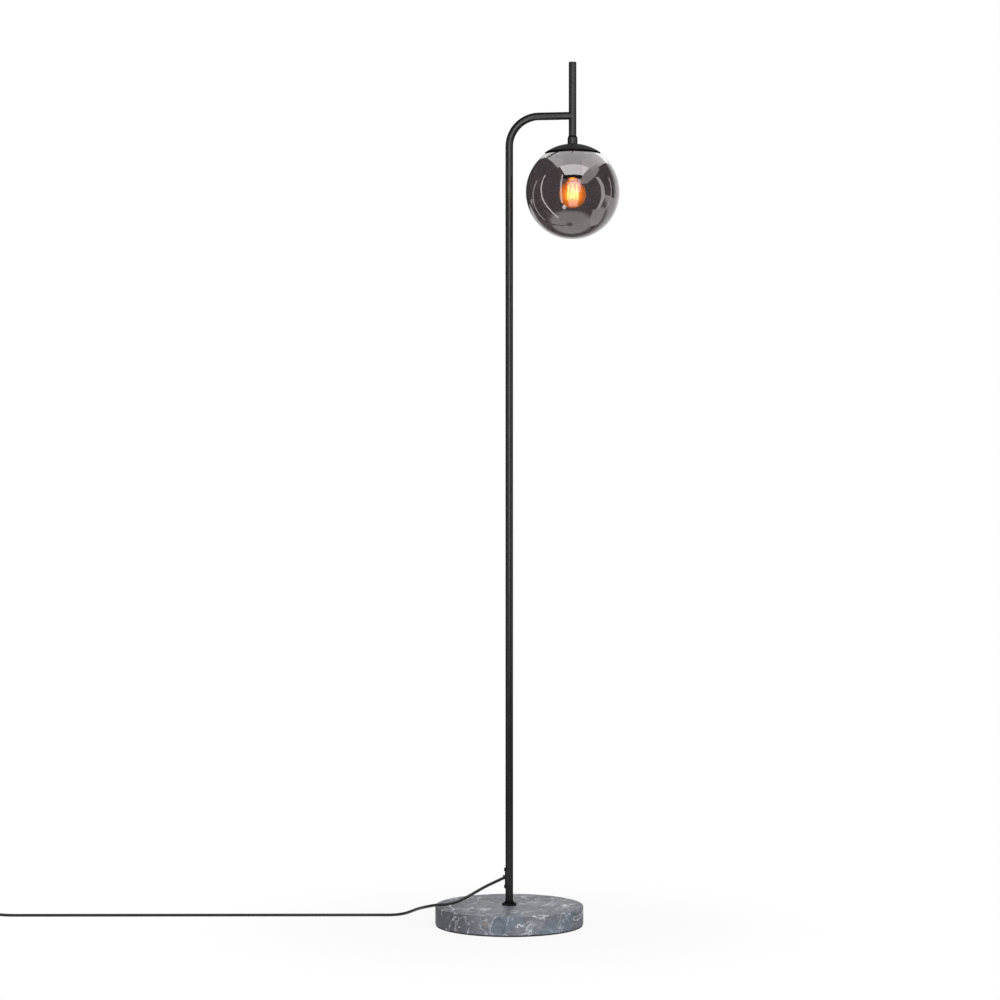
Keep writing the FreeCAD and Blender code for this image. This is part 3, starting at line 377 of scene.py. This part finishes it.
holder_plastic, tree, shader, place = new_material("holder_plastic")
matt = grain(tree, place, 800.0, 0.0, 1.0)
link(tree, blend(tree, matt, (0.016, 0.016, 0.016, 1), (0.026, 0.026, 0.027, 1)), shader, "Base Color")
link(tree, grain(tree, place, 200.0, 0.38, 0.50), shader, "Roughness")
bump(tree, matt, 0.12, 0.0002, shader)
finish_with(["lampholder_cap", "lampholder_body"], holder_plastic)

brass, tree, shader, place = new_material("brass")
tarnish = grain(tree, place, 260.0, 0.0, 1.0)
link(tree, blend(tree, tarnish, (0.72, 0.50, 0.20, 1), (0.50, 0.34, 0.14, 1)), shader, "Base Color")
shader.inputs["Metallic"].default_value = 1.0
link(tree, grain(tree, place, 700.0, 0.20, 0.38), shader, "Roughness")
bump(tree, tarnish, 0.05, 0.0002, shader)
finish_with(["lampholder_shell", "lampholder_contact", "bulb_contact", "switch_terminals"], brass)

wire_sleeve, tree, shader, place = new_material("wire_sleeve")
sleeve_skin = grain(tree, place, 500.0, 0.0, 1.0)
link(tree, blend(tree, sleeve_skin, (0.10, 0.045, 0.020, 1), (0.14, 0.065, 0.030, 1)), shader, "Base Color")
link(tree, grain(tree, place, 300.0, 0.34, 0.46), shader, "Roughness")
bump(tree, sleeve_skin, 0.08, 0.0002, shader)
finish_with(["supply_wires"], wire_sleeve)

# ---- bulb ------------------------------------------------------------------------------
# A round amber filament bulb, lit. Its glass glows from within, most around the four
# slanted filament sticks, and falls to deep orange at its edge.

bulb_low, bulb_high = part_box("bulb_glass")
bulb_centre = (bulb_low + bulb_high) / 2
bulb_centre.z = bulb_low.z + (bulb_high.x - bulb_low.x) / 2

amber_glass, tree, shader, place = new_material("amber_glass")
from_centre = vector_maths(tree, "SUBTRACT", place, tuple(bulb_centre)).outputs[0]
facing = put(tree, "ShaderNodeLayerWeight", Blend=0.5).outputs["Facing"]
glow = put(tree, "ShaderNodeValToRGB", Fac=facing)
stops = glow.color_ramp.elements
stops[0].color = (1.0, 0.64, 0.16, 1)
stops[1].color = (0.05, 0.012, 0.004, 1)
glow_hues = ((0.07, (0.66, 0.31, 0.050, 1)), (0.20, (0.26, 0.105, 0.016, 1)), (0.42, (0.11, 0.038, 0.006, 1)))
for position, hue in glow_hues:
    stops.new(position).color = hue
streaks = put(tree, "ShaderNodeTexNoise", Vector=from_centre, Scale=90.0, Detail=2.0).outputs["Fac"]
colour = blend(tree, ramp(tree, streaks, 0.35, 0.65, 0.0, 0.5), glow.outputs["Color"], (0.30, 0.10, 0.010, 1))
link(tree, colour, shader, "Emission Color")
shader.inputs["Emission Strength"].default_value = 3.0
link(tree, blend(tree, streaks, (0.78, 0.44, 0.120, 1), (0.66, 0.34, 0.085, 1)), shader, "Base Color")
shader.inputs["Transmission Weight"].default_value = 1.0
shader.inputs["Roughness"].default_value = 0.02
shader.inputs["IOR"].default_value = 1.5
finish_with(["bulb_glass"], amber_glass)

filament_glow, tree, shader, place = new_material("filament_glow")
beads = put(tree, "ShaderNodeTexWave", rings, Vector=place, Scale=420.0, Distortion=0.4).outputs["Fac"]
link(tree, blend(tree, beads, (1.0, 0.72, 0.30, 1), (1.0, 0.86, 0.52, 1)), shader, "Emission Color")
shader.inputs["Emission Strength"].default_value = 10.0
link(tree, blend(tree, beads, (0.90, 0.60, 0.12, 1), (0.95, 0.72, 0.20, 1)), shader, "Base Color")
shader.inputs["Roughness"].default_value = 0.45
finish_with(["bulb_filament"], filament_glow)

clear_glass, tree, shader, place = new_material("clear_glass")
seeds = grain(tree, place, 300.0, 0.0, 1.0)
link(tree, blend(tree, seeds, (0.96, 0.97, 0.96, 1), (0.99, 0.99, 0.99, 1)), shader, "Base Color")
shader.inputs["Transmission Weight"].default_value = 1.0
shader.inputs["Roughness"].default_value = 0.02
shader.inputs["IOR"].default_value = 1.5
finish_with(["bulb_stem"], clear_glass)

lead_wire, tree, shader, place = new_material("lead_wire")
drawn = grain(tree, place, 1500.0, 0.0, 1.0)
link(tree, blend(tree, drawn, (0.50, 0.47, 0.42, 1), (0.66, 0.62, 0.56, 1)), shader, "Base Color")
shader.inputs["Metallic"].default_value = 1.0
link(tree, grain(tree, place, 900.0, 0.25, 0.40), shader, "Roughness")
finish_with(["bulb_leads"], lead_wire)

nickel, tree, shader, place = new_material("nickel")
fingered = grain(tree, place, 180.0, 0.0, 1.0)
link(tree, blend(tree, fingered, (0.60, 0.58, 0.54, 1), (0.72, 0.70, 0.66, 1)), shader, "Base Color")
shader.inputs["Metallic"].default_value = 1.0
link(tree, grain(tree, place, 600.0, 0.16, 0.30), shader, "Roughness")
bump(tree, fingered, 0.04, 0.0002, shader)
finish_with(["bulb_cap", "plug_pins"], nickel)

black_vitrite, tree, shader, place = new_material("black_vitrite")
glassy = grain(tree, place, 400.0, 0.0, 1.0)
link(tree, blend(tree, glassy, (0.010, 0.010, 0.014, 1), (0.022, 0.021, 0.026, 1)), shader, "Base Color")
link(tree, grain(tree, place, 500.0, 0.12, 0.24), shader, "Roughness")
bump(tree, glassy, 0.10, 0.0002, shader)
finish_with(["bulb_insulator"], black_vitrite)

# ---- mains cord ------------------------------------------------------------------------
# A round black two-core cord, 5 mm thick. It leaves the saddle on the pole, drops over
# the edge of the marble and lies straight along the floor to the foot switch.

cord_radius = 0.0025
cord_heading = math.radians(8.4)
straight_start = Vector((-0.2350, 0.0525, 0))
onward = Vector((-math.cos(cord_heading), -math.sin(cord_heading), 0))
sideways = Vector((-math.sin(cord_heading), math.cos(cord_heading), 0))


def laid(along, aside, height):
    """A point on the floor past the start of the straight run, with its height."""
    return straight_start + onward * along + sideways * aside + Vector((0, 0, height))


def make_cord(name, points, material):
    """A smooth round cord whose control points are the route's points."""
    curve = bpy.data.curves.new(name, "CURVE")
    curve.dimensions = "3D"
    curve.bevel_depth = cord_radius
    curve.bevel_resolution = 5
    curve.use_fill_caps = True
    spline = curve.splines.new("NURBS")
    spline.points.add(len(points) - 1)
    for point, (x, y, z) in zip(spline.points, points):
        point.co = (x, y, z, 1)
    spline.order_u = 3
    spline.use_endpoint_u = True
    spline.resolution_u = 8
    curve.materials.append(material)
    piece = bpy.data.objects.new(name, curve)
    bpy.context.scene.collection.objects.link(piece)
    return piece


cord_jacket, tree, shader, place = new_material("cord_jacket")
jacket_skin = grain(tree, place, 1600.0, 0.0, 1.0)
dusty = grain(tree, place, 24.0, 0.0, 0.35)
colour = blend(tree, jacket_skin, (0.0120, 0.0120, 0.0125, 1), (0.0210, 0.0210, 0.0215, 1))
link(tree, blend(tree, dusty, colour, (0.040, 0.039, 0.038, 1)), shader, "Base Color")
link(tree, grain(tree, place, 90.0, 0.40, 0.52), shader, "Roughness")
bump(tree, jacket_skin, 0.15, 0.0002, shader)
finish_with(["inner_cable", "switch_inner_cords"], cord_jacket)

outlet_tilt = math.radians(26.0)
outlet_run = 0.0165
exit_point = Vector((-0.0096, 0, 0.0786))
second_point = exit_point + Vector((-math.cos(outlet_tilt), 0, -math.sin(outlet_tilt))) * outlet_run
switch_cord_height = 0.0060
lead_points = [
    exit_point,
    second_point,
    (-0.0395, -0.0045, 0.0645),
    (-0.0545, -0.0105, 0.0560),
    (-0.0690, -0.0185, 0.0480),
    (-0.0840, -0.0280, 0.0410),
    (-0.1005, -0.0360, 0.0375),
    (-0.1185, -0.0370, 0.0365),
    (-0.1350, -0.0280, 0.0320),
    (-0.1475, -0.0115, 0.0270),
    (-0.1580, 0.0075, 0.0220),
    (-0.1700, 0.0260, 0.0155),
    (-0.1855, 0.0410, 0.0080),
    (-0.2065, 0.0500, 0.0034),
    laid(0.0, 0.0, cord_radius),
    laid(0.030, 0.0, cord_radius),
    laid(0.616, 0.0, cord_radius),
    laid(0.632, 0.0, cord_radius),
    laid(0.648, 0.0, 0.0032),
    laid(0.664, 0.0, switch_cord_height),
    laid(0.680, 0.0, switch_cord_height),
]
cord_lead = make_cord("mains_cord", lead_points, cord_jacket)
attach(cord_lead, "lamp")
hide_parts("cord_lead")

# ---- coil and plug end -----------------------------------------------------------------
# Past the switch the rest of the cord is put away in a neat coil of two layers with a
# strap round it. It starts at the outside, and the plug's end leaves it at the outside.

coil_centre = laid(0.842, -0.035, 0)
layer_low = 0.0033
layer_high = 0.0083
turn_inner = 0.025
turn_middle = 0.030
turn_outer = 0.035
points_each_turn = 18
half_step = math.pi / points_each_turn
spline_pull = (3 + math.cos(2 * half_step)) / 4
coil_shape = [
    (0.00, turn_outer, layer_low), (0.75, turn_outer, layer_low), (1.00, turn_middle, layer_low),
    (1.75, turn_middle, layer_low), (2.00, turn_inner, layer_low), (2.42, turn_inner, layer_low),
    (2.75, turn_inner, layer_high), (3.20, turn_inner, layer_high), (3.45, turn_middle, layer_high),
    (4.20, turn_middle, layer_high), (4.45, turn_outer, layer_high), (4.50, turn_outer, layer_high),
]
coil_start_angle = math.radians(98.4)
coil_end_angle = math.radians(270 + 4 * 360)


def on_coil(turns):
    """Radius and height of the cord's centre after so many turns."""
    for (t0, r0, z0), (t1, r1, z1) in zip(coil_shape, coil_shape[1:]):
        if turns <= t1:
            share = (turns - t0) / (t1 - t0)
            share = share * share * (3 - 2 * share)
            return r0 + (r1 - r0) * share, z0 + (z1 - z0) * share
    return coil_shape[-1][1:]


coil_steps = round((coil_end_angle - coil_start_angle) / (2 * half_step))
coil_points = []
for step in range(1, coil_steps):
    angle = coil_start_angle + (coil_end_angle - coil_start_angle) * step / coil_steps
    radius, height_here = on_coil((angle - coil_start_angle) / (2 * math.pi))
    radius /= spline_pull
    on_turn = Vector((math.cos(angle) * radius, math.sin(angle) * radius, height_here))
    coil_points.append(coil_centre + on_turn)

coil_exit = coil_centre + Vector((0, -turn_outer, layer_high))
plug_axis_height = 0.0070
plug_run = 0.045
plug_aside = 0.008
plug_tail = coil_exit + Vector((plug_run, -plug_aside, plug_axis_height - layer_high))
end_straight = Vector((0.015, 0, 0))
tail_start = laid(0.800, 0, switch_cord_height)
tail_points = [
    tail_start,
    laid(0.811, 0, switch_cord_height),
    laid(0.822, 0, 0.0044),
    laid(0.833, 0, layer_low),
    *coil_points,
    coil_exit + end_straight,
    plug_tail - end_straight,
    plug_tail,
]
cord_tail = make_cord("coiled_cord", tail_points, cord_jacket)
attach(cord_tail, "lamp")
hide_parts("cord_tail", "cord_coil", "cord_end")

# ---- foot switch and plug --------------------------------------------------------------
# The switch is a moulded case in two halves with a round foot button, and the plug is
# moulded in one with its strain relief. Both are black plastic with a fine spark texture.

case_plastic, tree, shader, place = new_material("case_plastic")
spark = put(tree, "ShaderNodeTexVoronoi", Vector=place, Scale=1500.0).outputs["Distance"]
smudges = grain(tree, place, 40.0, 0.0, 1.0)
link(tree, blend(tree, smudges, (0.018, 0.018, 0.019, 1), (0.026, 0.026, 0.027, 1)), shader, "Base Color")
link(tree, ramp(tree, spark, 0.0, 0.8, 0.46, 0.60), shader, "Roughness")
bump(tree, spark, 0.25, 0.0002, shader)
finish_with(["switch_upper_shell", "switch_lower_shell", "switch_block"], case_plastic)

# The spring under the button, which shortens as the button goes down, gets its own mesh.
spring = bpy.data.objects.new("button_spring", nodes["switch_spring"].data.copy())
bpy.context.scene.collection.objects.link(spring)
spring.data.materials[0] = zinc_steel
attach(spring, "lamp")
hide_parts("switch_spring")
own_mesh(spring)

button_plastic, tree, shader, place = new_material("button_plastic")
rubbed_top = grain(tree, place, 120.0, 0.0, 1.0)
link(tree, blend(tree, rubbed_top, (0.022, 0.022, 0.023, 1), (0.034, 0.034, 0.035, 1)), shader, "Base Color")
link(tree, grain(tree, place, 300.0, 0.30, 0.42), shader, "Roughness")
bump(tree, rubbed_top, 0.06, 0.0002, shader)
finish_with(["switch_button"], button_plastic)

plug_plastic, tree, shader, place = new_material("plug_plastic")
plug_skin = put(tree, "ShaderNodeTexVoronoi", Vector=place, Scale=1300.0).outputs["Distance"]
smudges = grain(tree, place, 50.0, 0.0, 1.0)
link(tree, blend(tree, smudges, (0.016, 0.016, 0.017, 1), (0.025, 0.025, 0.026, 1)), shader, "Base Color")
link(tree, ramp(tree, plug_skin, 0.0, 0.8, 0.42, 0.56), shader, "Roughness")
bump(tree, plug_skin, 0.20, 0.0002, shader)
finish_with(["plug_body"], plug_plastic)

# ---- camera ----------------------------------------------------------------------------
# It stands at mid height, level, a little to the right, with a long lens.

view_yaw = math.radians(8)
camera_data = bpy.data.cameras.new("camera")
camera_data.lens = 91.66
camera_data.sensor_width = 36.0
camera_data.clip_end = 100.0
camera = bpy.data.objects.new("camera", camera_data)
camera.location = (0.5829, -4.2603, 0.717)
camera.rotation_euler = (math.radians(90), 0, view_yaw)
bpy.context.scene.collection.objects.link(camera)
bpy.context.scene.camera = camera

# ---- studio ----------------------------------------------------------------------------
# A white floor that keeps a faint shadow, a white surround, and soft lights overhead and
# in front. Dark drapes and bright ribbons round the lamp are seen only in reflections.

globe_low, globe_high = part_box("globe_glass")
globe_radius = (globe_high.x - globe_low.x) / 2
globe_middle = Vector(((globe_low.x + globe_high.x) / 2, 0, globe_low.z + globe_radius))
to_right = Vector((math.cos(view_yaw), math.sin(view_yaw), 0))
to_back = Vector((-math.sin(view_yaw), math.cos(view_yaw), 0))
upward = Vector((0, 0, 1))


def ray_kinds(tree):
    """Masks for rays that look straight or through glass, and for mirrored rays."""
    rays = tree.nodes.new("ShaderNodeLightPath").outputs
    mirrored_before = maths(tree, "GREATER_THAN", rays["Glossy Depth"], 0.5)
    through = rays["Is Transmission Ray"]
    straight = maths(tree, "MAXIMUM", rays["Is Camera Ray"], through)
    straight = maths(tree, "MULTIPLY", straight, maths(tree, "SUBTRACT", 1.0, mirrored_before))
    mirrored_through = maths(tree, "MULTIPLY", through, mirrored_before)
    return straight, maths(tree, "MAXIMUM", rays["Is Glossy Ray"], mirrored_through)


floor_mesh = bpy.data.meshes.new("floor")
reach = 15
floor_corners = [(-reach, -reach, 0), (reach, -reach, 0), (reach, reach, 0), (-reach, reach, 0)]
floor_mesh.from_pydata(floor_corners, [], [(0, 1, 2, 3)])
floor = bpy.data.objects.new("floor", floor_mesh)
floor.location.z = -0.0004
bpy.context.scene.collection.objects.link(floor)
paper = bpy.data.materials.new("floor_paper")
paper.use_nodes = True
tree = paper.node_tree
tree.nodes.clear()
straight, mirrored = ray_kinds(tree)
place = tree.nodes.new("ShaderNodeTexCoord").outputs["Object"]
distance = vector_maths(tree, "LENGTH", place, (0, 0, 0)).outputs["Value"]
share = maths(tree, "MULTIPLY", straight, ramp(tree, distance, 0.13, 0.60, 0.90, 1.0))
share = maths(tree, "MAXIMUM", share, mirrored)
depth_back = vector_maths(tree, "DOT_PRODUCT", place, tuple(to_back * 0.9 + to_right * 0.4)).outputs["Value"]
lit_near = ramp(tree, distance, 0.75, 1.15, 0.74, 0.06)
lit_floor = maths(tree, "MAXIMUM", lit_near, ramp(tree, depth_back, 1.0, 3.0, 0.0, 0.9))
strength = blend(tree, mirrored, (1, 1, 1, 1), lit_floor)
plain = put(tree, "ShaderNodeBsdfDiffuse", Color=(0.55, 0.55, 0.55, 1))
bright = put(tree, "ShaderNodeEmission", Color=strength, Strength=1.0)
mixed = put(tree, "ShaderNodeMixShader", i0=share, i1=plain.outputs[0], i2=bright.outputs[0])
surface = tree.nodes.new("ShaderNodeOutputMaterial")
tree.links.new(mixed.outputs[0], surface.inputs["Surface"])
floor_mesh.materials.append(paper)

world = bpy.data.worlds.new("surround")
bpy.context.scene.world = world
world.use_nodes = True
world.cycles.sampling_method = "NONE"
tree = world.node_tree
tree.nodes.clear()
straight, mirrored = ray_kinds(tree)
direction = tree.nodes.new("ShaderNodeTexCoord").outputs["Generated"]
backdrop = tuple(to_back * 0.934 + to_right * 0.358)
behind = vector_maths(tree, "DOT_PRODUCT", direction, backdrop).outputs["Value"]
drapes = ramp(tree, behind, 0.74, 0.92, 0.06, 1.0)
aside = vector_maths(tree, "DOT_PRODUCT", direction, tuple(to_right)).outputs["Value"]
soft_level = ramp(tree, maths(tree, "ABSOLUTE", aside), 0.30, 0.85, 0.28, 0.03)
other = maths(tree, "MULTIPLY", maths(tree, "SUBTRACT", 1.0, mirrored), soft_level)
strength = maths(tree, "ADD", maths(tree, "MULTIPLY", mirrored, drapes), other)
strength = maths(tree, "MAXIMUM", strength, straight)
background = put(tree, "ShaderNodeBackground", Color=(1, 1, 1, 1), Strength=strength)
sky = tree.nodes.new("ShaderNodeOutputWorld")
tree.links.new(background.outputs[0], sky.inputs["Surface"])


def soft_light(name, place, aim, width, length, radiance):
    """A rectangular soft light whose face shows a given radiance."""
    data = bpy.data.lights.new(name, "AREA")
    data.shape = "RECTANGLE"
    data.size = width
    data.size_y = length
    data.energy = radiance * math.pi * width * length
    lamp = bpy.data.objects.new(name, data)
    lamp.location = place
    lamp.rotation_euler = (aim - place).to_track_quat("-Z", "Y").to_euler()
    bpy.context.scene.collection.objects.link(lamp)
    return lamp


def overhead_light(name, right, backward, width, length, radiance):
    """A level light over the globe, measured in heights of the ceiling above the globe."""
    ceiling = 1.515
    level = globe_middle + upward * ceiling
    place = level + (to_right * right + to_back * backward) * ceiling
    lamp = soft_light(name, place, place - upward, width * ceiling, length * ceiling, radiance)
    lamp.rotation_euler.z = view_yaw


overhead_light("overhead_wide", 0.175, 0.85, 1.69, 2.7, 1.5)
overhead_light("overhead_narrow", 0.085, -0.875, 1.27, 1.05, 2.9)
front = soft_light("front", Vector((1.0, -3.8, 1.8)), Vector((0, 0, 0.4)), 2.0, 2.4, 7.0)
front.visible_glossy = False

card_radius = 1.2


def reflection_card(name, path, strength):
    """A ribbon seen only in reflections, by azimuth, elevation and half width in degrees."""
    corners = []
    for azimuth, elevation, half_width_here in path:
        rise = math.radians(elevation)
        for side in (-1, 1):
            turn = math.radians(azimuth + side * half_width_here)
            flat = to_right * math.sin(turn) - to_back * math.cos(turn)
            corners.append(globe_middle + (flat * math.cos(rise) + upward * math.sin(rise)) * card_radius)
    faces = [(2 * n, 2 * n + 1, 2 * n + 3, 2 * n + 2) for n in range(len(path) - 1)]
    mesh = bpy.data.meshes.new(name)
    mesh.from_pydata(corners, [], faces)
    card = bpy.data.objects.new(name, mesh)
    card.visible_camera = False
    card.visible_diffuse = False
    card.visible_transmission = False
    card.visible_shadow = False
    bpy.context.scene.collection.objects.link(card)
    card_light = bpy.data.materials.new(name)
    card_light.use_nodes = True
    card_light.node_tree.nodes.clear()
    shine = put(card_light.node_tree, "ShaderNodeEmission", Color=(1, 0.97, 0.97, 1), Strength=strength)
    out = card_light.node_tree.nodes.new("ShaderNodeOutputMaterial")
    card_light.node_tree.links.new(shine.outputs[0], out.inputs["Surface"])
    mesh.materials.append(card_light)


left_path = [(-80, 30, 1.8), (-82.5, 8, 2.2), (-81, -16, 2.2), (-73, -39, 2.4), (-70, -60, 3)]
right_path = [(64, 27, 4), (74, 10, 5.5), (78, -10, 5), (78, -30, 4), (74, -45, 2)]
gusset_path = [(25, 13, 7), (33, 22, 13), (44, 31, 20), (60, 40, 25), (76, 48, 20)]
reflection_card("left_strip", left_path, 2.6)
reflection_card("left_outer_strip", [(-101, 19, 2), (-113, 0, 2), (-119, -16, 2), (-124, -41, 2)], 1.3)
reflection_card("right_window", right_path, 1.7)
reflection_card("right_outer_strip", [(104, 23, 1.5), (105, -2, 1.5), (103, -38, 1.5)], 1.6)
reflection_card("right_gusset", gusset_path, 1.0)
reflection_card("right_low_patch", [(95, -26, 6), (98, -40, 34), (104, -57, 22)], 1.1)
reflection_card("front_left_strip", [(-28, 35, 2), (-30, -31, 2.5)], 2.2)
reflection_card("low_spot", [(-26, -36, 3), (-27, -41, 6), (-27, -46, 3)], 3.2)
reflection_card("front_panel", [(0, -40, 12), (0, 16, 15)], 1.5)

bpy.context.scene.view_settings.view_transform = "Standard"
